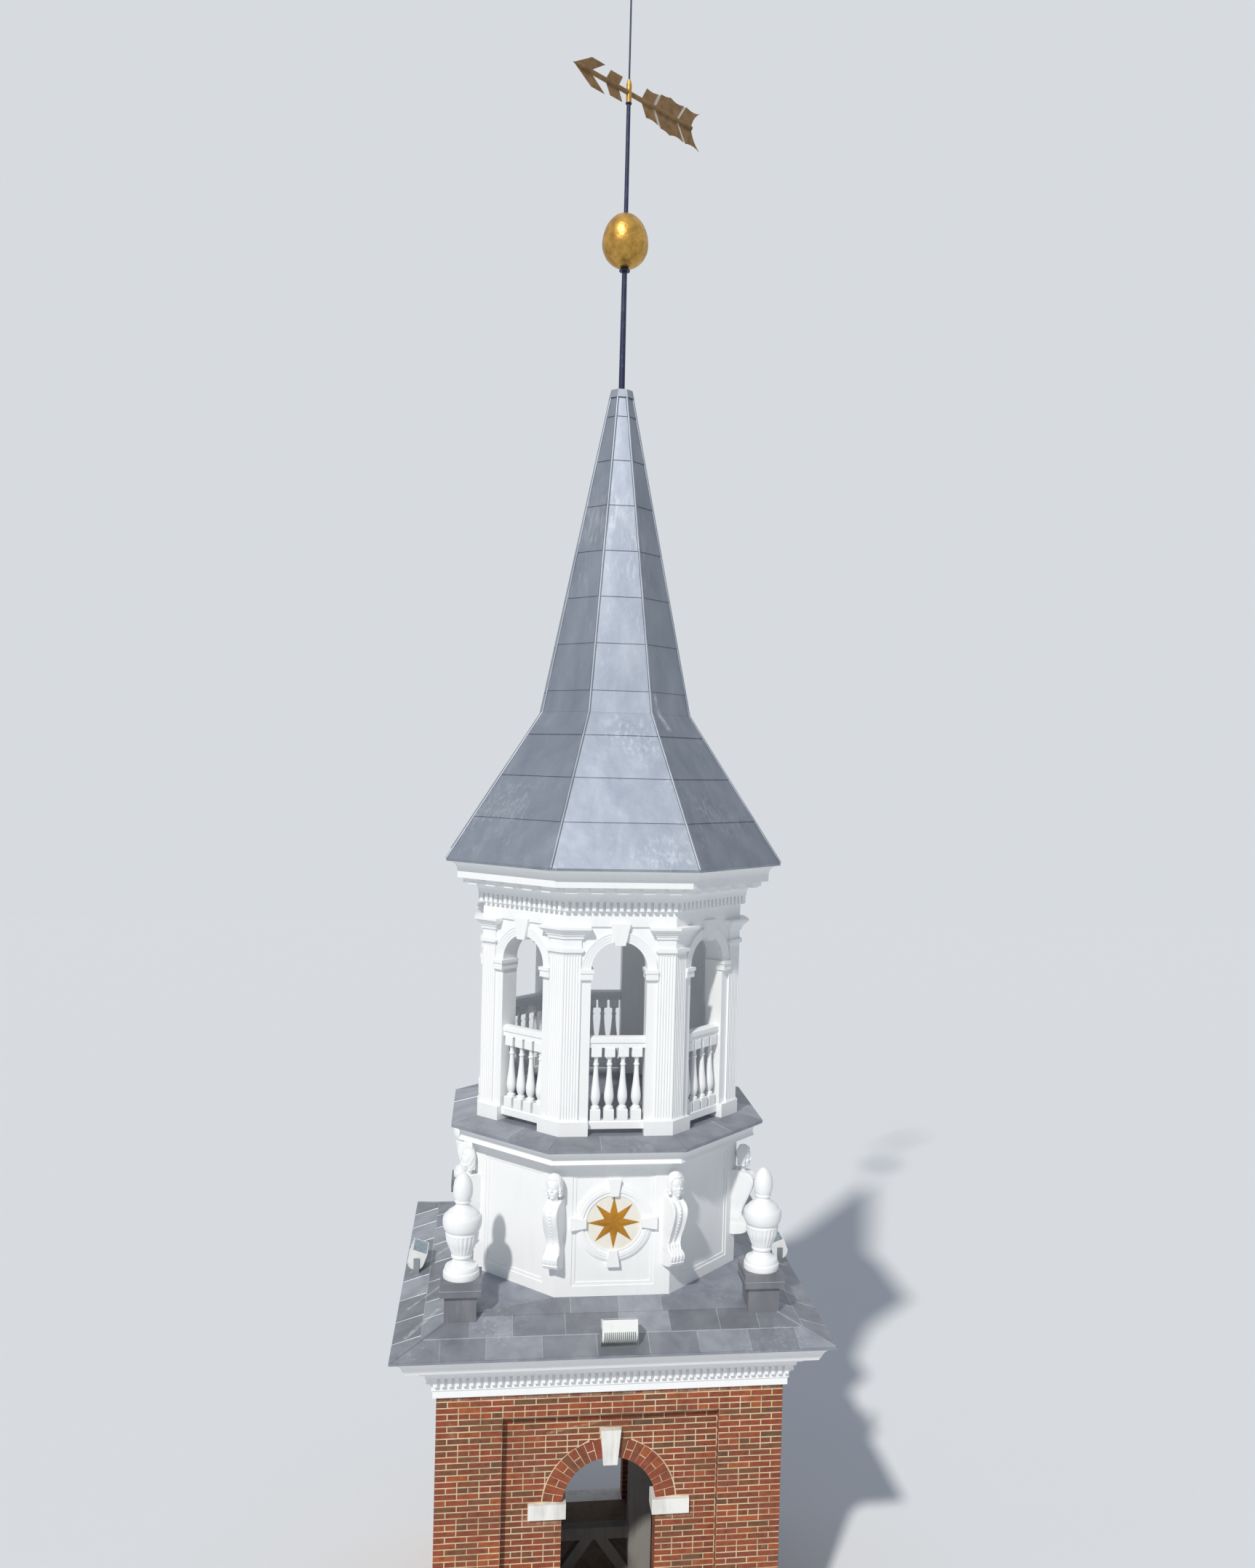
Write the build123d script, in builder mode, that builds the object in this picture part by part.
from build123d import *
import math
import os

os.makedirs("parts", exist_ok=True)

# Church spire: the brick belfry stage of the tower, its cornice and lead roof with four urns,
# an octagonal drum with star medallions and carved heads, an open octagonal lantern,
# and a broken-pitch lead spire with a pole, a gilded ball and an arrow weathervane.
# Millimetres. +Z is up, the front faces -Y, and the origin is the middle of the underside.

# Brick belfry stage
tower_width = 3400
course_height = 60
course_count = 56
wall_thickness = 310
panel_margin = 635
panel_courses = 4
recess_depth = 100
opening_width = 932
sill_courses = 7
arch_centre_drop = 1190
sill_thickness = 60
sill_overhang = 30
keystone_top_width = 200
keystone_foot_width = 140
keystone_height = 345
keystone_drop = 50
keystone_depth = 230
keystone_proud = 60
impost_length = 330
impost_height = 150
impost_depth = 230
impost_proud = 40
impost_lift = 40
floor_thickness = 60

# Timber frame in the belfry
post_width = 250
post_depth = 200
post_centre = 505
tie_height = 130
tie_level = 430
brace_size = 120
brace_meeting_gap = 20
brace_head_width = 144
brace_foot_width = 60
brace_foot_rise = 108

# Square cornice and its dentils
frieze_overhang = 38
frieze_step = 12
lower_fascia = 76
upper_fascia = 60
square_dentil_pitch = 68.5
square_dentil_height = 85
dentil_width = 38
dentil_depth = 42
dentil_backing = 6
dentil_cover = 8
bed_cyma_sag = 12
square_bed_rise = 60
square_bed_projection = 60
square_bed_fillet = 70
square_soffit_projection = 285
square_corona_height = 57
square_corona_slant = 28
square_crown_rise = 105
square_crown_projection = 107
square_crown_sag = 30
square_crown_hollow = 0.52

# Lead roof over the tower
roof_lip = 10
roof_edge = 24
roof_shoulder_half = 1575
roof_shoulder_rise = 170
roof_top_rise = 85
roof_thickness = 50
hip_roll_radius = 14

# Corner pedestals and urns
pedestal_centre = 1495
pedestal_body = 310
pedestal_cap = 395
pedestal_cap_height = 140
pedestal_top_rise = 546
urn_height = 1015
urn_radius = 191
# Outline of the urn as shares of its widest radius and of its height
urn_outline = [
    (0, 0), (0.93, 0), (0.93, 0.050), (0.89, 0.060), (0.84, 0.105), (0.63, 0.122), (0.50, 0.145),
    (0.44, 0.182), (0.53, 0.190), (0.56, 0.208), (0.54, 0.226), (0.66, 0.290), (0.78, 0.350),
    (0.85, 0.424), (0.83, 0.440), (0.93, 0.470), (0.99, 0.510), (1.00, 0.550), (0.96, 0.585),
    (0.88, 0.605), (0.68, 0.640), (0.42, 0.675), (0.35, 0.716), (0.41, 0.735), (0.39, 0.752),
    (0.46, 0.775), (0.50, 0.840), (0.45, 0.900), (0.32, 0.955), (0.16, 0.988), (0, 1),
]

# Octagonal drum
drum_apothem = 1392
drum_wall = 150
drum_height = 1313
drum_base_height = 105
drum_strip = 162
drum_panel_recess = 16
drum_moulding = 36
medallion_rise = 740
medallion_radius = 390
disc_radius = 275
medallion_proud = 34
disc_proud = 17
# Steps of the ring: the share of its width from the inside out, and the share of its height
medallion_steps = ((0.0, 0.75), (0.16, 0.62), (0.30, 1.0), (0.62, 0.78), (0.84, 0.45))
key_block_root = 80
key_block_width = 130
key_block_height = 160
key_block_proud = 60
star_tip_radius = 262
star_root_radius = 102
star_thickness = 10
star_points = 8

# Carved consoles with heads at the drum's corners
herm_width = 170
herm_foot_rise = 310
herm_body_height = 690
herm_back = 40
# Front of the console, as (distance out of the drum's corner, share of the body's height)
herm_outline = [
    (30, 0), (150, 0.09), (170, 0.20), (80, 0.28), (95, 0.43), (175, 0.70), (195, 0.84), (120, 0.97),
]
herm_shoulder = 60
head_height = 270
head_width = 122
head_reach = 95
chin_rise = 38
head_roundness = 0.42
hair_width = 168
hair_depth = 96
hair_height = 232
hair_round = 26
neck_radius = 40

# Drum cornice and the lead deck above it
drum_cornice_bed = 66
drum_corona_projection = 173
drum_corona_height = 36
drum_crown_rise = 100
drum_crown_projection = 72
drum_bed_projection = 40
drum_bed_rise = 40
drum_bed_foot = 14
drum_corona_slant = 14
drum_crown_sag = 55
deck_edge = 30
deck_thickness = 60

# Open lantern
lantern_apothem = 1367
lantern_wall = 222
lantern_panel_recess = 20
plinth_height = 142
plinth_proud = 20
bay_opening = 564
strip_width = 103
impost_rise = 1665
arch_impost_height = 98
arch_impost_proud = 26
impost_lap = 8
# Two courses of the impost block: (share of its height at the foot, share at the top, share of its projection)
impost_courses = ((0.0, 0.66, 0.60), (0.66, 1.0, 1.0))
archivolt_width = 101
archivolt_proud = 18
# Bands of the archivolt from the outside in: (share of its width where the band starts, share of its height)
archivolt_bands = ((1.0, 1.0), (0.84, 0.72), (0.56, 0.48), (0.28, 0.24))
lantern_pier_height = 2098
necking_rise = 1840
necking_height = 42
necking_proud = 24
capital_rise = 1978
capital_proud = 90
abacus_height = 26
flute_count = 6
flute_radius = 10
flute_pitch = 28
flute_margin = 30
# Each course of the capital stands out by this share of the whole projection
capital_steps = (0.18, 0.36, 0.64)
bay_keystone_top = 200
bay_keystone_foot = 104
bay_keystone_height = 218
bay_keystone_drop = 36
bay_keystone_proud = 48

# Balustrade
rail_depth = 120
top_rail_top = 987
top_rail_height = 114
handrail_height = 62
fascia_setback = 12
bottom_rail_foot = 57
bottom_rail_height = 81
bottom_rail_slope = 14
baluster_pitch = 137
baluster_count = 4
baluster_square = 104
baluster_base = 0.15
baluster_cap = 0.13
rail_setback = 24
# Outline of the turned part as shares of half the square's width and of the baluster's height
baluster_outline = [
    (0, 0.15), (0.78, 0.15), (0.84, 0.165), (0.84, 0.180), (0.52, 0.200), (0.78, 0.240), (0.93, 0.290),
    (0.95, 0.335), (0.86, 0.400), (0.70, 0.480), (0.54, 0.590), (0.42, 0.740), (0.56, 0.752), (0.56, 0.770),
    (0.40, 0.785), (0.42, 0.845), (0.66, 0.870), (0, 0.87),
]

# Lantern entablature
frieze_height = 160
lantern_frieze_step = 12
dentil_pitch = 68.4
dentil_height = 90
bed_rise = 100
bed_projection = 100
bed_cover = 6
bed_sag = 14
mutule_width = 122
mutule_height = 62
mutule_depth = 120
mutule_pitch = 257
mutules_per_side = 5
soffit_projection = 275
corona_height = 79
crown_rise = 94
crown_projection = 98
# Middle of the crown moulding's hollow, as shares of its projection and rise
crown_hollow = (0.25, 0.58)
ceiling_thickness = 40

# Lead spire
eave_lip = 18
eave_edge = 24
kink_apothem = 792
flare_height = 1551
steep_height = 3475
spire_top_apothem = 118
spire_shell = 60
flare_sheet = 437
flare_laps = 4
kink_lap = 231
steep_sheet = 502
steep_laps = 7
sheet_lap = 4
cap_apothem = 137
cap_drop = 12
cap_height = 89
cap_top_apothem = 117
pole_socket_radius = 60
pole_socket_depth = 260

# Pole and ball
pole_radius = 34
pole_neck_radius = 28
upper_pole_radius = 24
upper_pole_top_radius = 22
ball_bottom_rise = 1345
ball_height = 597
ball_radius = 254
ball_wall = 4
ball_collar_radius = 60
ball_collar_top_radius = 42
ball_collar_height = 34
pole_height = 3146

# Weathervane
spindle_radius = 10
spindle_height = 1547
spindle_point = 40
hub_radius = 30
hub_neck_radius = 18
hub_height = 248
hub_shoulder = 198
hub_clearance = 0.08
hub_lift = 0.5
pole_collar_radius = 35
pole_collar_height = 12
arrow_heading = 219
arrow_shaft_radius = 26
arrow_front_length = 830
arrow_point_length = 90
arrow_back_length = 1010
arrow_rise = 107
vane_plate = 6
vane_strap = 3
# Outlines of the plates above the shaft, as (distance behind the spindle, height above the shaft's centre);
# a point with a 0 bends the edge into an arc
head_outline = [(-800, 8), (-560, 155), (-365, 155), (-570, 14)]
fin_outline = [(-350, 14), (-280, 135), (-100, 135), (-160, 14)]
tail_outlines = [
    [(195, 14), (278, 162), (366, 152, 0), (456, 168), (373, 14)],
    [(415, 14), (512, 190), (588, 192, 0), (660, 212), (770, 186, 0), (880, 206), (760, 14)],
    [(790, 14), (920, 208), (1035, 190, 0), (1150, 215), (1052, 118, 0), (1008, 14)],
]
strap_outlines = [
    [(368, 14), (446, 160), (516, 182), (420, 14)],
    [(755, 14), (868, 194), (924, 198), (795, 14)],
]

# Floodlights on the lead roof
flood_width = 340
flood_mouth = 170
flood_depth = 200
flood_lean = 20
flood_bezel = 10
flood_recess = 12
flood_fin_count = 13
flood_fin_pitch = 24
flood_fin_gap = 10
flood_fin_depth = 9
flood_plate = 8
flood_distance = 2000
flood_offset = 20
flood_axis_lift = 140
flood_pin_radius = 8
flood_pin_length = 24
flood_pin_end_gap = 1
flood_clearance = 0.08
flood_side_gap = 6
flood_foot_width = 60
flood_arm_root = 46

# Levels and outlines worked out from the sizes above
half_tower = tower_width / 2
stage_top = course_height * course_count
sill_level = course_height * sill_courses
arch_centre = stage_top - arch_centre_drop
opening_radius = opening_width / 2
recess_plane = half_tower - recess_depth
inner_half = half_tower - wall_thickness
square_frieze = half_tower + frieze_overhang
square_dentil_foot = stage_top + lower_fascia + upper_fascia
square_dentil_back = square_frieze + frieze_step + dentil_cover
square_dentil_top = square_dentil_foot + square_dentil_height
square_soffit = square_dentil_top + square_bed_rise + square_bed_fillet
square_corona_half = half_tower + square_soffit_projection
square_corona_top = square_soffit + square_corona_height
square_crown_top = square_corona_top + square_crown_rise
square_eave_half = square_corona_half + square_corona_slant + square_crown_projection
roof_foot = square_crown_top
roof_eave = roof_foot + roof_edge
roof_half = square_eave_half + roof_lip
roof_shoulder = roof_eave + roof_shoulder_rise
roof_top = roof_shoulder + roof_top_rise
pedestal_top = roof_eave + pedestal_top_rise
drum_top = roof_top + drum_height
drum_corona_foot = drum_top + drum_cornice_bed
drum_crown_foot = drum_corona_foot + drum_corona_height
deck_foot = drum_crown_foot + drum_crown_rise
deck_half = drum_apothem + drum_corona_projection + drum_crown_projection + roof_lip
deck_lip_top = deck_foot + deck_edge
deck_top = deck_lip_top + deck_thickness
lantern_inner = lantern_apothem - lantern_wall
lantern_panel = lantern_apothem - lantern_panel_recess
bay_radius = bay_opening / 2
spring_level = deck_top + impost_rise
pier_top = deck_top + lantern_pier_height
frieze_top = pier_top + frieze_height
dentil_back = lantern_apothem + lantern_frieze_step
dentil_top = frieze_top + dentil_height
soffit_level = dentil_top + bed_rise + mutule_height
corona_apothem = lantern_apothem + soffit_projection
corona_top = soffit_level + corona_height
crown_top = corona_top + crown_rise
crown_apothem = corona_apothem + crown_projection
spire_eave = crown_top + eave_edge
eave_apothem = crown_apothem + eave_lip
kink_level = spire_eave + flare_height
spire_top = kink_level + steep_height
cap_foot = spire_top - cap_drop
cap_top = cap_foot + cap_height
pole_top = cap_top + pole_height
ball_foot = cap_top + ball_bottom_rise
hub_foot = pole_top + hub_lift
arrow_level = hub_foot + arrow_rise

octagon_turns = [45 * side for side in range(8)]
square_turns = [90 * side for side in range(4)]


def octagon_side(apothem):
    return 2 * apothem * math.tan(math.pi / 8)


def corner_points(sides, apothem):
    # Corners of a polygon with one side facing -Y, counter-clockwise from the right front one
    radius = apothem / math.cos(math.pi / sides)
    first = -90 + 180 / sides
    turns = [math.radians(first + 360 / sides * side) for side in range(sides)]
    return [(radius * math.cos(turn), radius * math.sin(turn)) for turn in turns]


def prism(sides, apothem, foot, top, cut=Mode.ADD):
    # Upright square or octagonal prism between two levels
    with BuildSketch(Plane.XY.offset(foot)) as outline:
        Polygon(*corner_points(sides, apothem), align=None)
    extrude(outline.sketch, amount=top - foot, mode=cut)


def frustum(sides, foot_apothem, foot, top_apothem, top, cut=Mode.ADD, turn=0):
    # Tapered square or octagonal block between two levels
    with BuildSketch(Plane.XY.offset(foot)) as lower:
        Polygon(*corner_points(sides, foot_apothem), align=None, rotation=turn)
    lean = math.degrees(math.atan2(foot_apothem - top_apothem, top - foot))
    extrude(lower.sketch, amount=top - foot, taper=lean, mode=cut)


def side_plane(turn, apothem, height=0):
    # Plane on a face of the tower: its X runs to the right along the face, its Y up, its Z out
    angle = math.radians(turn - 90)
    outward = (math.cos(angle), math.sin(angle), 0)
    along = (-math.sin(angle), math.cos(angle), 0)
    return Plane(origin=(outward[0] * apothem, outward[1] * apothem, height), x_dir=along, z_dir=outward)


def plan_plane(turn, height):
    # Level plane whose X runs along a face and whose Y points outwards; its Z points down
    angle = math.radians(turn - 90)
    along = (-math.sin(angle), math.cos(angle), 0)
    return Plane(origin=(0, 0, height), x_dir=along, z_dir=(0, 0, -1))


def moulding_ring(sides, path_apothem, points):
    # Sweep a moulding profile round the tower with mitred corners; its points are
    # (distance from the axis, height)
    corners = corner_points(sides, path_apothem)
    loop = [(0, -path_apothem)] + corners + [(0, -path_apothem)]
    with BuildLine() as path:
        Polyline(*loop)
    profile_plane = Plane(origin=(0, 0, 0), x_dir=(0, -1, 0), z_dir=(-1, 0, 0))
    with BuildSketch(profile_plane) as profile:
        with BuildLine():
            draw_outline(points)
        make_face()
    sweep(profile.sketch, path=path.wires()[0], transition=Transition.RIGHT)


def profile_edges(points):
    # Turn a closed list of profile points into edges; a point with a third value is the middle of an arc
    edges = []
    for before, point, after in zip(points[-1:] + points[:-1], points, points[1:] + points[:1]):
        if len(point) == 3:
            edges.append((before, point[:2], after))
        elif len(after) == 2:
            edges.append((point, after))
    return edges


def draw_outline(points):
    # Draw such a list into the line that is being built
    for edge in profile_edges(points):
        if len(edge) == 3:
            ThreePointArc(*edge)
        else:
            Line(*edge)


def finish(piece, name):
    piece.part.label = name
    export_step(piece.part, f"parts/{name}.step")


# Brick walls: each has a recessed panel and an arched opening
def keystone_block(turn, mode):
    foot = arch_centre + opening_radius - keystone_drop
    with BuildSketch(side_plane(turn, recess_plane + keystone_proud)) as face:
        with BuildLine():
            Polyline((-keystone_foot_width / 2, foot), (keystone_foot_width / 2, foot),
                     (keystone_top_width / 2, foot + keystone_height),
                     (-keystone_top_width / 2, foot + keystone_height),
                     (-keystone_foot_width / 2, foot))
        make_face()
    extrude(face.sketch, amount=-keystone_depth, mode=mode)


def impost_blocks(turn, mode):
    level = arch_centre + impost_lift - impost_height / 2
    reach = opening_radius + impost_length / 2 - impost_proud / 2
    with BuildSketch(side_plane(turn, recess_plane + impost_proud)) as face:
        with Locations((-reach, level), (reach, level)):
            Rectangle(impost_length + impost_proud, impost_height)
    extrude(face.sketch, amount=-impost_depth, mode=mode)


def brick_wall(turn, width):
    with BuildPart() as wall:
        with BuildSketch(side_plane(turn, half_tower)):
            with Locations((0, stage_top / 2)):
                Rectangle(width, stage_top)
        extrude(amount=-wall_thickness)
        panel_foot = course_height * panel_courses
        panel_top = stage_top - panel_foot
        with BuildSketch(side_plane(turn, half_tower)):
            with Locations((0, (panel_foot + panel_top) / 2)):
                Rectangle(tower_width - 2 * panel_margin, panel_top - panel_foot)
        extrude(amount=-recess_depth, mode=Mode.SUBTRACT)
        foot = sill_level - sill_thickness
        with BuildSketch(side_plane(turn, half_tower)):
            with BuildLine():
                Line((-opening_radius, foot), (opening_radius, foot))
                Line((opening_radius, foot), (opening_radius, arch_centre))
                ThreePointArc((opening_radius, arch_centre), (0, arch_centre + opening_radius),
                              (-opening_radius, arch_centre))
                Line((-opening_radius, arch_centre), (-opening_radius, foot))
            make_face()
        extrude(amount=-wall_thickness, mode=Mode.SUBTRACT)
        keystone_block(turn, Mode.SUBTRACT)
        impost_blocks(turn, Mode.SUBTRACT)
    return wall


for wall_name, wall_turn, wall_width in (
    ("belfry_wall_front", 0, tower_width),
    ("belfry_wall_right", 90, 2 * inner_half),
    ("belfry_wall_back", 180, tower_width),
    ("belfry_wall_left", 270, 2 * inner_half),
):
    finish(brick_wall(wall_turn, wall_width), wall_name)

with BuildPart() as belfry_keystones:
    for turn in square_turns:
        keystone_block(turn, Mode.ADD)
finish(belfry_keystones, "belfry_keystones")

with BuildPart() as belfry_imposts:
    for turn in square_turns:
        impost_blocks(turn, Mode.ADD)
finish(belfry_imposts, "belfry_imposts")

with BuildPart() as belfry_sills:
    for turn in square_turns:
        with BuildSketch(side_plane(turn, recess_plane + sill_overhang)):
            with Locations((0, sill_level - sill_thickness / 2)):
                Rectangle(opening_width, sill_thickness)
        extrude(amount=-(wall_thickness - recess_depth + sill_overhang))
finish(belfry_sills, "belfry_sills")

with BuildPart() as belfry_floor:
    prism(4, inner_half, sill_level - sill_thickness, sill_level - sill_thickness + floor_thickness)
finish(belfry_floor, "belfry_floor")

# Timber frame that stands on the belfry floor under the roof
belfry_deck = sill_level - sill_thickness + floor_thickness
frame_top = roof_top - roof_thickness
with BuildPart() as frame_posts:
    for side in (-1, 1):
        with BuildSketch(Plane.XY.offset(belfry_deck)):
            with Locations((side * post_centre, 0)):
                Rectangle(post_width, post_depth)
        extrude(amount=frame_top - belfry_deck)
finish(frame_posts, "belfry_frame_posts")

tie_foot = belfry_deck + tie_level
post_face = post_centre - post_width / 2
with BuildPart() as frame_tie:
    with BuildSketch(Plane.YZ.offset(-post_face)):
        with Locations((0, tie_foot + tie_height / 2)):
            Rectangle(brace_size, tie_height)
    extrude(amount=2 * post_face)
finish(frame_tie, "belfry_frame_tie")

brace_head = brace_meeting_gap / 2
with BuildPart() as frame_braces:
    for side in (-1, 1):
        with BuildSketch(Plane.XZ.offset(-brace_size / 2)):
            with BuildLine():
                Polyline((side * brace_head, tie_foot), (side * (brace_head + brace_head_width), tie_foot),
                         (side * post_face, belfry_deck + brace_foot_rise), (side * post_face, belfry_deck),
                         (side * (post_face - brace_foot_width), belfry_deck), (side * brace_head, tie_foot))
            make_face()
        extrude(amount=brace_size)
finish(frame_braces, "belfry_frame_braces")

# Square cornice round the head of the tower
square_bed_foot = square_dentil_back + dentil_depth + dentil_cover
with BuildPart() as tower_cornice:
    moulding_ring(4, inner_half, [
        (inner_half, stage_top), (square_frieze, stage_top),
        (square_frieze, stage_top + lower_fascia),
        (square_frieze + frieze_step, stage_top + lower_fascia),
        (square_frieze + frieze_step, square_dentil_foot),
        (square_dentil_back, square_dentil_foot), (square_dentil_back, square_dentil_top),
        (square_bed_foot, square_dentil_top),
        (square_bed_foot + bed_cyma_sag, square_dentil_top + square_bed_rise * 0.7, 0),
        (square_dentil_back + dentil_depth + square_bed_projection, square_dentil_top + square_bed_rise),
        (square_dentil_back + dentil_depth + square_bed_projection, square_soffit),
        (square_corona_half, square_soffit), (square_corona_half + square_corona_slant, square_corona_top),
        (square_corona_half + square_corona_slant + square_crown_sag,
         square_corona_top + square_crown_rise * square_crown_hollow, 0),
        (square_eave_half, square_crown_top), (inner_half, square_crown_top),
    ])
finish(tower_cornice, "tower_cornice")


def dentil_course(turns, apothem, half_length, pitch, foot, top):
    # One toothed strip for each side: a thin backing with the dentils standing out of it
    count = int((2 * half_length + pitch - dentil_width) / pitch)
    for turn in turns:
        places = [((place - (count - 1) / 2) * pitch, apothem + dentil_depth / 2) for place in range(count)]
        with BuildSketch(plan_plane(turn, foot)) as strip:
            with Locations((0, apothem + dentil_backing / 2)):
                Rectangle(2 * half_length, dentil_backing)
            with Locations(*places):
                Rectangle(dentil_width, dentil_depth)
        extrude(strip.sketch, amount=-(top - foot))


with BuildPart() as tower_dentils:
    dentil_course(square_turns, square_dentil_back, square_dentil_back - 1, square_dentil_pitch,
                  square_dentil_foot, square_dentil_top)
finish(tower_dentils, "tower_dentils")

# Lead roof: a low slope from the square eave to a shoulder, then a shallow rise to the octagon
with BuildPart() as roof_crown:
    frustum(4, roof_shoulder_half, roof_shoulder, drum_apothem, roof_top)
    frustum(4, roof_shoulder_half * math.sqrt(2), roof_shoulder, drum_apothem, roof_top,
            Mode.INTERSECT, turn=45)


def hip_roll(turn, stops):
    # Round lead roll up a hip, through (distance from the axis, level) stops
    angle = math.radians(turn)
    points = [(reach * math.cos(angle), reach * math.sin(angle), level) for reach, level in stops]
    with BuildLine() as hip:
        Polyline(*points)
    direction = hip.wires()[0] % 0
    with BuildSketch(Plane(origin=points[0], z_dir=direction)) as roll:
        Circle(hip_roll_radius)
    sweep(roll.sketch, path=hip.wires()[0], transition=Transition.RIGHT)


with BuildPart() as tower_roof:
    prism(4, roof_half, roof_foot, roof_eave)
    frustum(4, roof_half, roof_eave, roof_shoulder_half, roof_shoulder)
    add(roof_crown.part)
    for turn in square_turns:
        hip_roll(turn + 45, ((roof_half * math.sqrt(2) - hip_roll_radius, roof_eave),
                             (roof_shoulder_half * math.sqrt(2), roof_shoulder)))
    frustum(4, roof_half - 2 * roof_thickness, roof_foot, roof_shoulder_half - roof_thickness,
            roof_shoulder - roof_thickness, Mode.SUBTRACT)
    prism(8, drum_apothem - roof_thickness, roof_foot, roof_top - roof_thickness, Mode.SUBTRACT)
finish(tower_roof, "tower_roof")


# Corner pedestals with oversailing lead caps, and turned urns on them
corners_at = [(x * pedestal_centre, y * pedestal_centre) for x in (-1, 1) for y in (-1, 1)]
with BuildPart() as urn_pedestals:
    with Locations(*[(x, y, roof_shoulder - roof_thickness) for x, y in corners_at]):
        Box(pedestal_body, pedestal_body, pedestal_top - pedestal_cap_height - roof_shoulder + roof_thickness,
            align=(Align.CENTER, Align.CENTER, Align.MIN))
    with Locations(*[(x, y, pedestal_top - pedestal_cap_height) for x, y in corners_at]):
        Box(pedestal_cap, pedestal_cap, pedestal_cap_height, align=(Align.CENTER, Align.CENTER, Align.MIN))
    add(tower_roof.part, mode=Mode.SUBTRACT)
finish(urn_pedestals, "urn_pedestals")

with BuildPart() as first_urn:
    with BuildSketch(Plane.XZ):
        Polygon(*[(share * urn_radius, rise * urn_height) for share, rise in urn_outline], align=None)
    revolve(axis=Axis.Z)

with BuildPart() as urns:
    with Locations(*[(x, y, pedestal_top) for x, y in corners_at]):
        add(first_urn.part)
finish(urns, "urns")

# Octagonal drum: a hollow wall with corner strips and a recessed moulded panel on each side
panel_half = octagon_side(drum_apothem) / 2 - drum_strip
panel_foot_level = roof_top + drum_base_height
panel_head_level = drum_top - drum_strip / 2
with BuildPart() as drum_wall_ring:
    prism(8, drum_apothem, roof_top, drum_top)
    prism(8, drum_apothem - drum_wall, roof_top, drum_top, Mode.SUBTRACT)
    for turn in octagon_turns:
        with BuildSketch(side_plane(turn, drum_apothem, (panel_foot_level + panel_head_level) / 2)):
            Rectangle(2 * panel_half, panel_head_level - panel_foot_level)
        extrude(amount=-drum_panel_recess / 2, mode=Mode.SUBTRACT)
        with BuildSketch(side_plane(turn, drum_apothem, (panel_foot_level + panel_head_level) / 2)):
            Rectangle(2 * (panel_half - drum_moulding),
                      panel_head_level - panel_foot_level - 2 * drum_moulding)
        extrude(amount=-drum_panel_recess, mode=Mode.SUBTRACT)
finish(drum_wall_ring, "drum_wall")

# Medallions: a moulded ring with four key blocks round a disc, and a gilded star on the disc
medallion_level = roof_top + medallion_rise
medallion_back = drum_apothem - drum_panel_recess
ring_width = medallion_radius - disc_radius
with BuildPart() as first_medallion:
    with BuildSketch(side_plane(0, medallion_back, medallion_level)):
        Circle(disc_radius)
    extrude(amount=disc_proud)
    for (start, height), (end, _) in zip(medallion_steps, medallion_steps[1:] + ((1.0, 0),)):
        with BuildSketch(side_plane(0, medallion_back, medallion_level)):
            Circle(disc_radius + ring_width * end)
            Circle(disc_radius + ring_width * start, mode=Mode.SUBTRACT)
        extrude(amount=medallion_proud * height)
    with BuildSketch(side_plane(0, medallion_back, medallion_level)):
        with PolarLocations(0, 4):
            Polygon((disc_radius, -key_block_root / 2),
                    (disc_radius + key_block_height, -key_block_width / 2),
                    (disc_radius + key_block_height, key_block_width / 2),
                    (disc_radius, key_block_root / 2), align=None)
    extrude(amount=key_block_proud)
    add(drum_wall_ring.part, mode=Mode.SUBTRACT)

with BuildPart() as drum_medallions:
    with PolarLocations(0, 4):
        add(first_medallion.part)
finish(drum_medallions, "drum_medallions")

with BuildPart() as drum_stars:
    for turn in square_turns:
        with BuildSketch(side_plane(turn, medallion_back + disc_proud, medallion_level)):
            tips = []
            for point in range(2 * star_points):
                reach = star_root_radius if point % 2 else star_tip_radius
                angle = math.pi * point / star_points
                tips.append((reach * math.sin(angle), reach * math.cos(angle)))
            Polygon(*tips, align=None)
        extrude(amount=star_thickness)
finish(drum_stars, "drum_stars")

# Corner consoles: a scroll-footed body that carries a head, one at each corner of the drum
corner_radius = drum_apothem / math.cos(math.pi / 8)
herm_foot = roof_top + herm_foot_rise
herm_head_foot = herm_foot + herm_body_height
console_plane = Plane(origin=(0, -herm_width / 2, 0), x_dir=(1, 0, 0), z_dir=(0, -1, 0))
with BuildPart() as first_herm:
    with BuildSketch(console_plane):
        back = corner_radius - herm_back
        front = [(corner_radius + out, herm_foot + herm_body_height * rise) for out, rise in herm_outline]
        with BuildLine():
            Line((back, herm_foot), front[0])
            Spline(*front)
            Line(front[-1], (corner_radius + herm_shoulder, herm_head_foot))
            Line((corner_radius + herm_shoulder, herm_head_foot), (back, herm_head_foot))
            Line((back, herm_head_foot), (back, herm_foot))
        make_face()
    extrude(amount=-herm_width)

with BuildPart() as corner_herms:
    for turn in octagon_turns:
        with Locations(Location((0, 0, 0), (0, 0, turn + 22.5))):
            add(first_herm.part)
    prism(8, drum_apothem - drum_panel_recess, roof_top, drum_top, Mode.SUBTRACT)
    add(drum_wall_ring.part, mode=Mode.SUBTRACT)
finish(corner_herms, "corner_herms")

# Head: a neck, an oval face and a mass of hair that falls behind it to the shoulders
with BuildPart() as oval_face:
    with Locations((corner_radius + head_reach, 0, herm_head_foot + chin_rise)):
        Cylinder(head_width / 2, head_height - chin_rise, align=(Align.CENTER, Align.CENTER, Align.MIN))
    fillet(oval_face.edges().filter_by(GeomType.CIRCLE), head_width * head_roundness)

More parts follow.
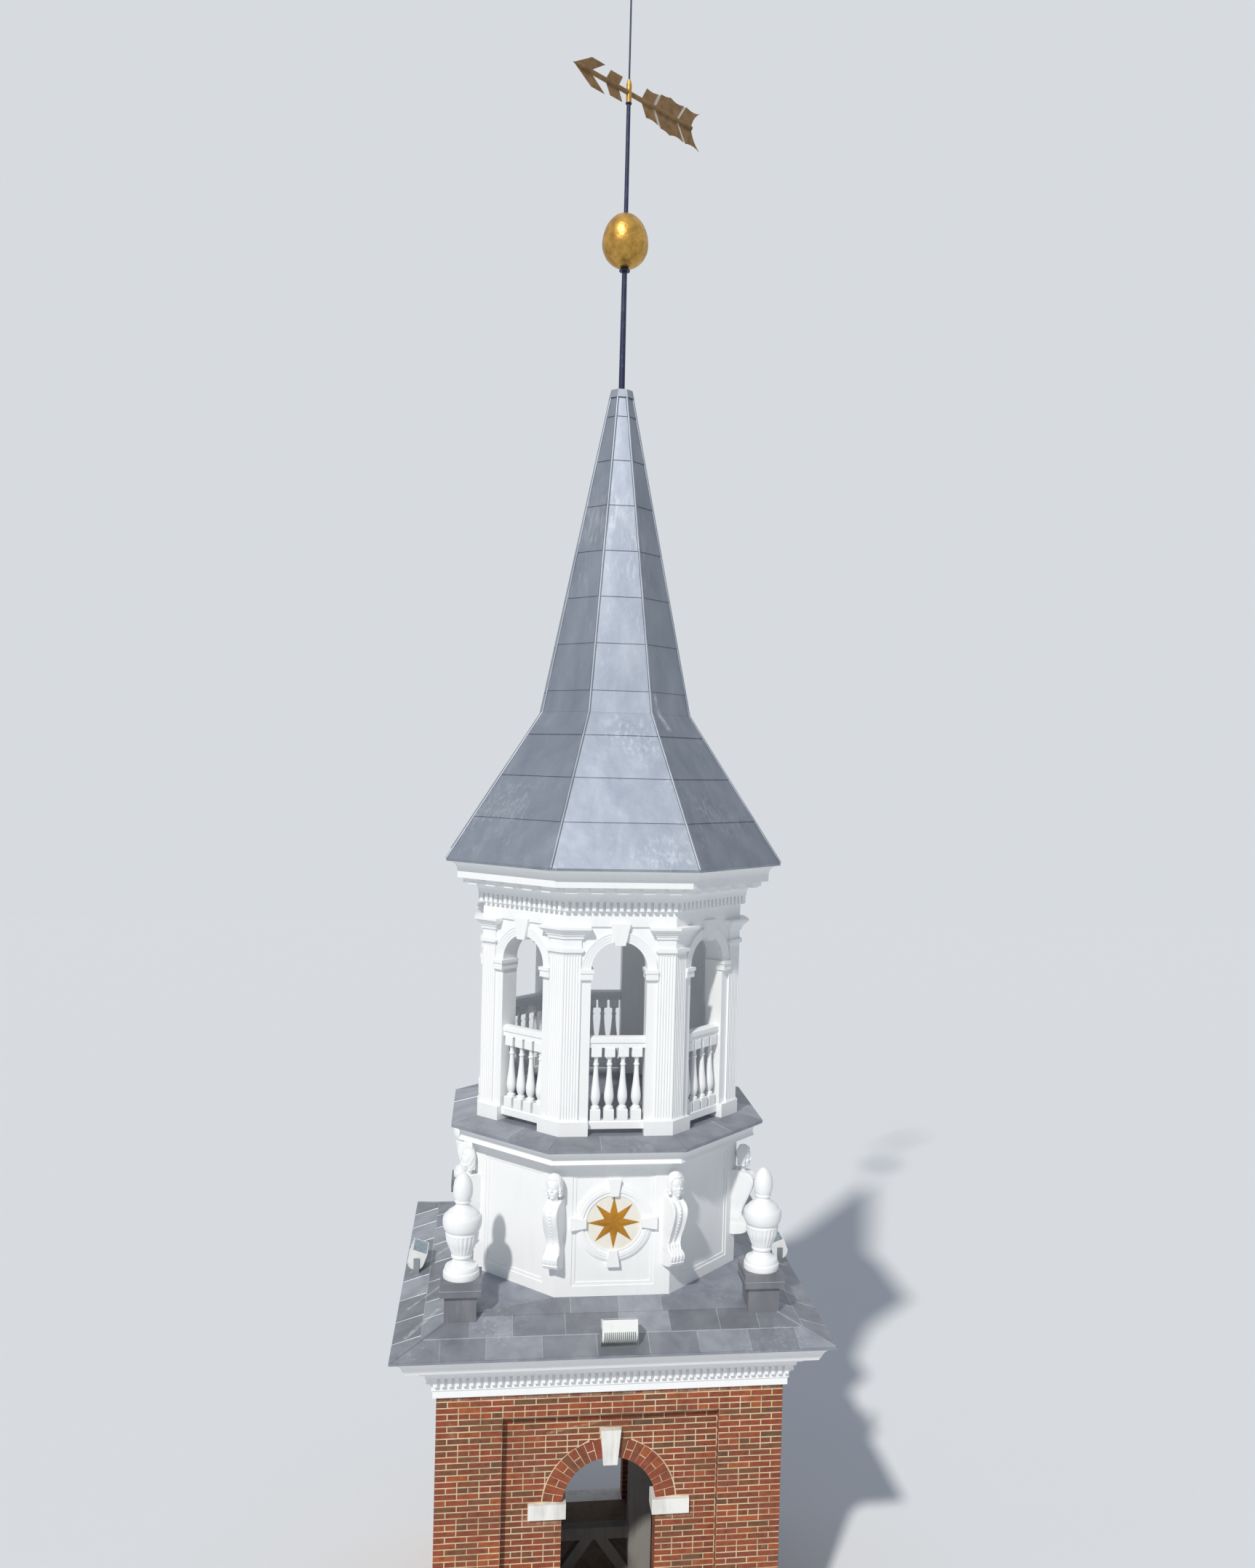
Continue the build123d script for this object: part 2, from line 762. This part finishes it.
with BuildPart() as first_head:
    with Locations((corner_radius + head_reach - hair_depth / 3, 0, herm_head_foot)):
        Box(hair_depth, hair_width, hair_height, align=(Align.CENTER, Align.CENTER, Align.MIN))
    fillet(first_head.edges().filter_by(Axis.Z), hair_round)
    fillet(first_head.edges().group_by(Axis.Z)[-1], hair_round)
    with Locations((corner_radius + head_reach, 0, herm_head_foot)):
        Cylinder(neck_radius, head_height / 3, align=(Align.CENTER, Align.CENTER, Align.MIN))
    add(oval_face.part)

with BuildPart() as herm_heads:
    for turn in octagon_turns:
        with Locations(Location((0, 0, 0), (0, 0, turn + 22.5))):
            add(first_head.part)
    prism(8, drum_apothem, roof_top, drum_top, Mode.SUBTRACT)
finish(herm_heads, "herm_heads")

# Drum cornice
with BuildPart() as drum_cornice:
    bed = drum_apothem + drum_bed_projection
    crown = drum_apothem + drum_corona_projection
    moulding_ring(8, drum_apothem - drum_wall, [
        (drum_apothem - drum_wall, drum_top), (drum_apothem + drum_bed_foot, drum_top),
        (bed, drum_top + drum_bed_rise), (bed, drum_corona_foot), (crown, drum_corona_foot),
        (crown - drum_corona_slant, drum_crown_foot), (crown, drum_crown_foot + drum_crown_sag, 0),
        (crown + drum_crown_projection, deck_foot),
        (drum_apothem - drum_wall, deck_foot),
    ])
finish(drum_cornice, "drum_cornice")

# Lead deck that floors the lantern
with BuildPart() as lantern_deck:
    prism(8, deck_half, deck_foot, deck_lip_top)
    frustum(8, deck_half, deck_lip_top, lantern_apothem + plinth_proud, deck_top)
finish(lantern_deck, "lantern_deck")


# Lantern piers: one at each corner of the octagon, with plinth, shaft, necking and capital
def pier_arm(turn, hand, outer, half_strip, inner, foot, top, mode=Mode.ADD):
    # One arm of a corner pier, along the right (hand 1) or left (hand -1) end of a side
    half_side = outer * math.tan(math.pi / 8)
    inner_side = inner * math.tan(math.pi / 8)
    points = [(half_side, outer), (half_strip, outer), (half_strip, inner), (inner_side, inner)]
    with BuildSketch(plan_plane(turn, foot)) as plan:
        Polygon(*[(hand * x, y) for x, y in points], align=None)
    extrude(plan.sketch, amount=-(top - foot), mode=mode)


def corner_prism(outer, half_strip, foot, top):
    # The two arms of a pier that meet at the corner between two sides
    pier_arm(0, 1, outer, half_strip, lantern_inner, foot, top)
    pier_arm(45, -1, outer, half_strip, lantern_inner, foot, top)


def impost_course(turn, hand, reach, foot, top):
    # One course of the block that carries the foot of an arch, between the opening and the pilaster
    outer = lantern_apothem + reach
    near, far = bay_radius - reach, pilaster_edge + impost_lap
    points = [(far, outer), (near, outer), (near, lantern_inner), (far, lantern_inner)]
    with BuildSketch(plan_plane(turn, foot)) as plan:
        Polygon(*[(hand * x, y) for x, y in points], align=None)
    extrude(plan.sketch, amount=-(top - foot))


pilaster_edge = bay_radius + strip_width
capital_foot = deck_top + capital_rise
with BuildPart() as first_pier:
    corner_prism(lantern_panel, bay_radius, deck_top, spring_level)
    corner_prism(lantern_apothem, pilaster_edge, deck_top, pier_top)
    corner_prism(lantern_apothem + plinth_proud, bay_radius, deck_top, deck_top + plinth_height)
    corner_prism(lantern_apothem + necking_proud, pilaster_edge - necking_proud / 2,
                 deck_top + necking_rise, deck_top + necking_rise + necking_height)
    for step, share in enumerate(capital_steps):
        course = (pier_top - abacus_height - capital_foot) / len(capital_steps)
        reach = capital_proud * share
        corner_prism(lantern_apothem + reach, pilaster_edge - reach,
                     capital_foot + course * step, capital_foot + course * (step + 1))
    corner_prism(lantern_apothem + capital_proud, pilaster_edge - capital_proud,
                 pier_top - abacus_height, pier_top)
    for low, high, share in impost_courses:
        reach = arch_impost_proud * share
        for turn, hand in ((0, 1), (45, -1)):
            impost_course(turn, hand, reach, spring_level - arch_impost_height * (1 - low),
                          spring_level - arch_impost_height * (1 - high))
    shaft_foot = deck_top + plinth_height + flute_margin
    shaft_top = deck_top + necking_rise - flute_margin
    face_middle = (octagon_side(lantern_apothem) / 2 + pilaster_edge) / 2
    for turn, hand in ((0, 1), (45, -1)):
        with BuildSketch(plan_plane(turn, shaft_foot)):
            with Locations((hand * face_middle, lantern_apothem)):
                with GridLocations(flute_pitch, 1, flute_count, 1):
                    Circle(flute_radius)
        extrude(amount=-(shaft_top - shaft_foot), mode=Mode.SUBTRACT)

with BuildPart() as lantern_piers:
    with PolarLocations(0, 8):
        add(first_pier.part)
finish(lantern_piers, "lantern_piers")

# Arched panels between the piers, each with a moulded archivolt and a keystone
keystone_foot = spring_level + bay_radius - bay_keystone_drop
with BuildPart() as first_arch:
    with BuildSketch(side_plane(0, lantern_panel)):
        with Locations((0, (spring_level + pier_top) / 2)):
            Rectangle(2 * pilaster_edge, pier_top - spring_level)
    extrude(amount=-(lantern_panel - lantern_inner))
    for reach, height in archivolt_bands:
        with BuildSketch(side_plane(0, lantern_panel)):
            with Locations((0, spring_level)):
                Circle(bay_radius + archivolt_width * reach)
        extrude(amount=archivolt_proud)
        with BuildSketch(side_plane(0, lantern_panel + archivolt_proud * height)):
            with Locations((0, spring_level)):
                Circle(bay_radius + archivolt_width * reach)
        extrude(amount=archivolt_proud, mode=Mode.SUBTRACT)
    with BuildSketch(side_plane(0, lantern_apothem)):
        with Locations((0, spring_level)):
            Circle(bay_radius)
        with Locations((0, spring_level - pilaster_edge)):
            Rectangle(2 * pilaster_edge, 2 * pilaster_edge)
    extrude(amount=-lantern_wall, mode=Mode.SUBTRACT)
    with BuildSketch(side_plane(0, lantern_panel + bay_keystone_proud)):
        with BuildLine():
            Polyline((-bay_keystone_foot / 2, keystone_foot), (bay_keystone_foot / 2, keystone_foot),
                     (bay_keystone_top / 2, keystone_foot + bay_keystone_height),
                     (-bay_keystone_top / 2, keystone_foot + bay_keystone_height),
                     (-bay_keystone_foot / 2, keystone_foot))
        make_face()
    extrude(amount=-lantern_wall / 2)
    prism(8, lantern_apothem, pier_top, frieze_top, Mode.SUBTRACT)
    add(lantern_piers.part, mode=Mode.SUBTRACT)

with BuildPart() as lantern_arches:
    with PolarLocations(0, 8):
        add(first_arch.part)
finish(lantern_arches, "lantern_arches")

# Balustrade in each bay: two rails and four turned balusters
rail_face = lantern_panel - rail_setback
bottom_rail_top = deck_top + bottom_rail_foot + bottom_rail_height
top_rail_level = deck_top + top_rail_top
rail_middle = rail_face - rail_depth / 2
rail_half = rail_depth / 2
handrail_foot = top_rail_level - handrail_height
rail_plane = Plane(origin=(-bay_opening / 2, -rail_middle, 0), x_dir=(0, -1, 0), z_dir=(-1, 0, 0))
with BuildPart() as first_rails:
    for points in (
        [(-rail_half, deck_top + bottom_rail_foot), (rail_half, deck_top + bottom_rail_foot),
         (rail_half, bottom_rail_top - bottom_rail_slope), (baluster_square / 2, bottom_rail_top),
         (-baluster_square / 2, bottom_rail_top), (-rail_half, bottom_rail_top - bottom_rail_slope)],
        [(fascia_setback - rail_half, top_rail_level - top_rail_height),
         (rail_half - fascia_setback, top_rail_level - top_rail_height),
         (rail_half - fascia_setback, handrail_foot), (rail_half, handrail_foot),
         (rail_half, top_rail_level - handrail_height / 3), (0, top_rail_level, 0),
         (-rail_half, top_rail_level - handrail_height / 3), (-rail_half, handrail_foot),
         (fascia_setback - rail_half, handrail_foot)],
    ):
        with BuildSketch(rail_plane):
            with BuildLine():
                draw_outline(points)
            make_face()
        extrude(amount=-bay_opening)

with BuildPart() as balustrade_rails:
    with PolarLocations(0, 8):
        add(first_rails.part)
finish(balustrade_rails, "balustrade_rails")

baluster_foot = bottom_rail_top
baluster_height = top_rail_level - top_rail_height - baluster_foot
with BuildPart() as first_baluster:
    for low, high in ((0, baluster_base), (1 - baluster_cap, 1)):
        with BuildSketch(Plane.XY.offset(baluster_height * low)):
            Rectangle(baluster_square, baluster_square)
        extrude(amount=baluster_height * (high - low))
    with BuildSketch(Plane.XZ):
        Polygon(*[(share * baluster_square / 2, rise * baluster_height) for share, rise in baluster_outline],
                align=None)
    revolve(axis=Axis.Z)

with BuildPart() as balusters:
    for turn in octagon_turns:
        for place in range(baluster_count):
            across = (place - (baluster_count - 1) / 2) * baluster_pitch
            seat = plan_plane(turn, baluster_foot).from_local_coords((across, rail_middle, 0))
            with Locations(Location(seat, (0, 0, turn))):
                add(first_baluster.part)
finish(balusters, "balusters")

# Ceiling of the lantern and the entablature that the piers carry
with BuildPart() as lantern_frieze:
    prism(8, lantern_apothem, pier_top, frieze_top)
    prism(8, lantern_inner, pier_top, frieze_top, Mode.SUBTRACT)
finish(lantern_frieze, "lantern_frieze")

with BuildPart() as lantern_ceiling:
    prism(8, lantern_inner, frieze_top - ceiling_thickness, frieze_top)
finish(lantern_ceiling, "lantern_ceiling")

with BuildPart() as lantern_dentils:
    dentil_course(octagon_turns, dentil_back, octagon_side(dentil_back) / 2 - 1, dentil_pitch,
                  frieze_top, dentil_top)
finish(lantern_dentils, "lantern_dentils")

bed_foot = dentil_back + dentil_depth + bed_cover
with BuildPart() as lantern_cornice:
    moulding_ring(8, lantern_inner, [
        (lantern_inner, frieze_top), (dentil_back, frieze_top), (dentil_back, dentil_top),
        (bed_foot, dentil_top), (bed_foot - bed_cover + bed_sag, dentil_top + bed_rise * 0.6, 0),
        (lantern_apothem + bed_projection, dentil_top + bed_rise),
        (lantern_apothem + bed_projection, soffit_level), (corona_apothem, soffit_level),
        (corona_apothem, corona_top),
        (corona_apothem + crown_projection * crown_hollow[0], corona_top + crown_rise * crown_hollow[1], 0),
        (crown_apothem, crown_top), (lantern_inner, crown_top),
    ])
finish(lantern_cornice, "lantern_cornice")

with BuildPart() as lantern_mutules:
    for turn in octagon_turns:
        with BuildSketch(plan_plane(turn, soffit_level - mutule_height)):
            with Locations((0, lantern_apothem + bed_projection + mutule_depth / 2)):
                with GridLocations(mutule_pitch, 1, mutules_per_side, 1):
                    Rectangle(mutule_width, mutule_depth)
        extrude(amount=-mutule_height)
finish(lantern_mutules, "lantern_mutules")

# Lead spire: lapped sheets up a flared skirt and a steep upper part, with a roll on each hip; it is hollow
def spire_apothem(level):
    if level < kink_level:
        return eave_apothem - (eave_apothem - kink_apothem) * (level - spire_eave) / flare_height
    return kink_apothem - (kink_apothem - spire_top_apothem) * (level - kink_level) / steep_height


spire_laps = [spire_eave + flare_sheet * course for course in range(flare_laps)]
spire_laps += [kink_level + kink_lap + steep_sheet * course for course in range(steep_laps)]
with BuildPart() as spire_roof:
    prism(8, eave_apothem, crown_top, spire_eave)
    for foot, top in zip(spire_laps, spire_laps[1:] + [spire_top]):
        stops = [foot, kink_level, top] if foot < kink_level < top else [foot, top]
        # The foot of each sheet laps over the sheet below it
        lap = 0 if foot == spire_eave else sheet_lap
        for low, high in zip(stops, stops[1:]):
            frustum(8, spire_apothem(low) + lap * (top - low) / (top - foot), low,
                    spire_apothem(high) + lap * (top - high) / (top - foot), high)
    corner = math.cos(math.pi / 8)
    for turn in octagon_turns:
        hip_roll(turn + 22.5, ((eave_apothem / corner, spire_eave), (kink_apothem / corner, kink_level),
                               (spire_top_apothem / corner, spire_top)))
    frustum(8, eave_apothem - 2 * spire_shell, crown_top, kink_apothem - spire_shell,
            kink_level - spire_shell, Mode.SUBTRACT)
    frustum(8, kink_apothem - spire_shell, kink_level - spire_shell,
            pole_socket_radius, spire_top - pole_socket_depth, Mode.SUBTRACT)
    with BuildSketch(Plane.XY.offset(spire_top)):
        Circle(pole_radius)
    extrude(amount=-pole_socket_depth, mode=Mode.SUBTRACT)
finish(spire_roof, "spire_roof")

with BuildPart() as spire_cap:
    frustum(8, cap_apothem, cap_foot, cap_top_apothem, cap_top)
    add(spire_roof.part, mode=Mode.SUBTRACT)
    with BuildSketch(Plane.XY.offset(cap_top)):
        Circle(pole_radius)
    extrude(amount=-cap_height, mode=Mode.SUBTRACT)
finish(spire_cap, "spire_cap")

# Pole: it tapers through the ball and ends in the spindle that the weathervane turns on
ball_top = ball_foot + ball_height
with BuildPart() as spire_pole:
    with BuildSketch(Plane.XZ):
        with BuildLine():
            Polyline((0, spire_top - pole_socket_depth), (pole_radius, spire_top - pole_socket_depth),
                     (pole_radius, cap_top), (pole_neck_radius, ball_foot - ball_collar_height),
                     (ball_collar_radius, ball_foot - ball_collar_height),
                     (ball_collar_top_radius, ball_foot),
                     (upper_pole_radius, ball_foot), (upper_pole_radius, ball_top),
                     (upper_pole_top_radius, pole_top - pole_collar_height),
                     (pole_collar_radius, pole_top - pole_collar_height), (pole_collar_radius, pole_top),
                     (spindle_radius, pole_top), (spindle_radius, pole_top + spindle_height - spindle_point),
                     (0, pole_top + spindle_height), (0, spire_top - pole_socket_depth))
        make_face()
    revolve(axis=Axis.Z)
finish(spire_pole, "spire_pole")

ball_waist = ball_foot + ball_radius


def egg_line(inset):
    # Half outline of the ball drawn in by a wall: the lower half is round, the upper half taller
    width = ball_radius - inset
    rise = ball_top - ball_waist - inset
    end = math.acos(upper_pole_radius / width)
    low = CenterArc((0, ball_waist), width, -math.degrees(end), math.degrees(end))
    turns = [end * share / 3 for share in range(4)]
    high = Spline(*[(width * math.cos(turn), ball_waist + rise * math.sin(turn)) for turn in turns])
    return low @ 0, high @ 1


with BuildPart() as pole_ball:
    with BuildSketch(Plane.XZ):
        with BuildLine():
            outer_foot, outer_top = egg_line(0)
            inner_foot, inner_top = egg_line(ball_wall)
            Line(outer_foot, inner_foot)
            Line(outer_top, inner_top)
        make_face()
    revolve(axis=Axis.Z)
finish(pole_ball, "pole_ball")

# Weathervane: a sleeve on the spindle, a round arrow shaft through it, and flat plates on the shaft
arrow_angle = math.radians(arrow_heading)
arrow_point = (math.cos(arrow_angle), math.sin(arrow_angle), 0)
arrow_side = (-math.sin(arrow_angle), math.cos(arrow_angle), 0)
# Plane of the plates: X runs from the tip to the tail, Y up
arrow_plane = Plane(origin=(0, 0, arrow_level), x_dir=(-arrow_point[0], -arrow_point[1], 0), z_dir=arrow_side)


def plate_outlines(outlines, straps=()):
    # Flat plates above and below the shaft, mirrored in it; thinner straps join the plates of the tail
    with BuildPart() as plates:
        for thickness, group in ((vane_plate, outlines), (vane_strap, straps)):
            for points in group:
                for hand in (1, -1):
                    with BuildSketch(arrow_plane.offset(-thickness / 2)) as face:
                        with BuildLine():
                            draw_outline([(x, hand * y, *bend) for x, y, *bend in points])
                        make_face()
                    extrude(face.sketch, amount=thickness)
        add(vane_shaft.part, mode=Mode.SUBTRACT)
    return plates


with BuildPart() as vane_shaft:
    with BuildSketch(arrow_plane):
        with BuildLine():
            Polyline((-arrow_front_length, 0),
                     (-arrow_front_length + arrow_point_length, arrow_shaft_radius),
                     (arrow_back_length, arrow_shaft_radius), (arrow_back_length, 0),
                     (-arrow_front_length, 0))
        make_face()
    revolve(axis=Axis(arrow_plane.origin, arrow_plane.x_dir))
    with BuildSketch(Plane.XZ):
        with BuildLine():
            Polyline((0, hub_foot), (hub_radius, hub_foot), (hub_radius, hub_foot + hub_shoulder),
                     (hub_neck_radius, hub_foot + hub_height), (0, hub_foot + hub_height), (0, hub_foot))
        make_face()
    revolve(axis=Axis.Z)
    with BuildSketch(Plane.XY.offset(hub_foot)):
        Circle(spindle_radius + hub_clearance)
    extrude(amount=hub_height, mode=Mode.SUBTRACT)
finish(vane_shaft, "vane_shaft")

finish(plate_outlines([head_outline]), "vane_head")
finish(plate_outlines([fin_outline]), "vane_fins")
finish(plate_outlines(tail_outlines, strap_outlines), "vane_tail")

# Floodlights: a ribbed housing on a yoke, one on each side of the lead roof
foot_slope = roof_shoulder_rise / (roof_half - roof_shoulder_half)
flood_axis_level = roof_eave + (roof_half - flood_distance) * foot_slope + flood_axis_lift


def flood_plane(turn, across=0):
    # Plane across a floodlight at its tilt axis: X points outwards, Y up, Z along the tilt axis
    angle = math.radians(turn - 90)
    outward = (math.cos(angle), math.sin(angle), 0)
    along = (-math.sin(angle), math.cos(angle), 0)
    shift = flood_offset + across
    origin = (outward[0] * flood_distance + along[0] * shift, outward[1] * flood_distance + along[1] * shift,
              flood_axis_level)
    return Plane(origin=origin, x_dir=outward, z_dir=(-along[0], -along[1], 0))


def leaning(points):
    # Turn outline points by the lean of the lens, which faces up and towards the spire
    lean = math.radians(flood_lean)
    return [(x * math.cos(lean) - y * math.sin(lean), x * math.sin(lean) + y * math.cos(lean), *bend)
            for x, y, *bend in points]


def flood_head(turn):
    # A straight mouth and a half-round back, with cooling fins round the outer half of the back
    radius = flood_mouth / 2
    glass_half = radius - flood_bezel
    mouth, spring = flood_depth / 2, radius - flood_depth / 2
    back = leaning([(0, spring)])[0]
    with BuildPart() as head:
        with BuildSketch(flood_plane(turn, flood_width / 2)):
            with BuildLine():
                draw_outline(leaning([(radius, spring), (radius, mouth), (-radius, mouth), (-radius, spring),
                                      (0, spring - radius, 0)]))
            make_face()
        extrude(amount=flood_width)
        with BuildSketch(flood_plane(turn, flood_width / 2 - flood_bezel)):
            with BuildLine():
                draw_outline(leaning([
                    (glass_half, mouth - flood_recess), (glass_half, mouth + flood_recess),
                    (-glass_half, mouth + flood_recess), (-glass_half, mouth - flood_recess)]))
            make_face()
        extrude(amount=flood_width - 2 * flood_bezel, mode=Mode.SUBTRACT)
        for fin in range(flood_fin_count):
            across = (fin - (flood_fin_count - 1) / 2) * flood_fin_pitch + flood_fin_gap / 2
            with BuildSketch(flood_plane(turn, across)) as groove:
                with Locations(back):
                    Circle(radius + flood_fin_depth)
                    Circle(radius - flood_fin_depth, mode=Mode.SUBTRACT)
                with Locations((back[0] + radius, back[1] - radius)):
                    Rectangle(2 * radius, 2 * radius, mode=Mode.INTERSECT)
            extrude(groove.sketch, amount=flood_fin_gap, mode=Mode.SUBTRACT)
        for end in (-1, 1):
            with BuildSketch(flood_plane(turn, end * flood_width / 2)):
                Circle(flood_pin_radius + flood_clearance)
            extrude(amount=end * flood_pin_length, mode=Mode.SUBTRACT)
    return head


for side_name, turn in (("front", 0), ("right", 90), ("back", 180), ("left", 270)):
    finish(flood_head(turn), f"flood_head_{side_name}")

with BuildPart() as flood_brackets:
    for turn in square_turns:
        arm = flood_width / 2 + flood_side_gap
        for end in (-1, 1):
            with BuildSketch(flood_plane(turn, end * arm)):
                with Locations((0, -flood_axis_lift / 2)):
                    Rectangle(flood_foot_width, flood_axis_lift + flood_foot_width)
            extrude(amount=-end * flood_plate)
            with BuildSketch(flood_plane(turn, end * (arm + flood_plate / 2))):
                Circle(flood_pin_radius)
            extrude(amount=end * (flood_side_gap + flood_plate / 2 + flood_pin_length - flood_pin_end_gap))
        with BuildSketch(flood_plane(turn, arm + flood_plate)):
            with Locations((0, -flood_axis_lift)):
                Rectangle(flood_foot_width, flood_foot_width)
        extrude(amount=2 * (arm + flood_plate))
        with BuildSketch(flood_plane(turn, arm)):
            half = flood_foot_width
            with BuildLine():
                Polyline((-half, half * foot_slope + flood_plate - flood_axis_lift),
                         (half, -half * foot_slope + flood_plate - flood_axis_lift),
                         (half, -flood_axis_lift + flood_arm_root),
                         (-half, -flood_axis_lift + flood_arm_root),
                         (-half, half * foot_slope + flood_plate - flood_axis_lift))
            make_face()
        extrude(amount=2 * arm, mode=Mode.SUBTRACT)
    add(tower_roof.part, mode=Mode.SUBTRACT)
finish(flood_brackets, "flood_brackets")
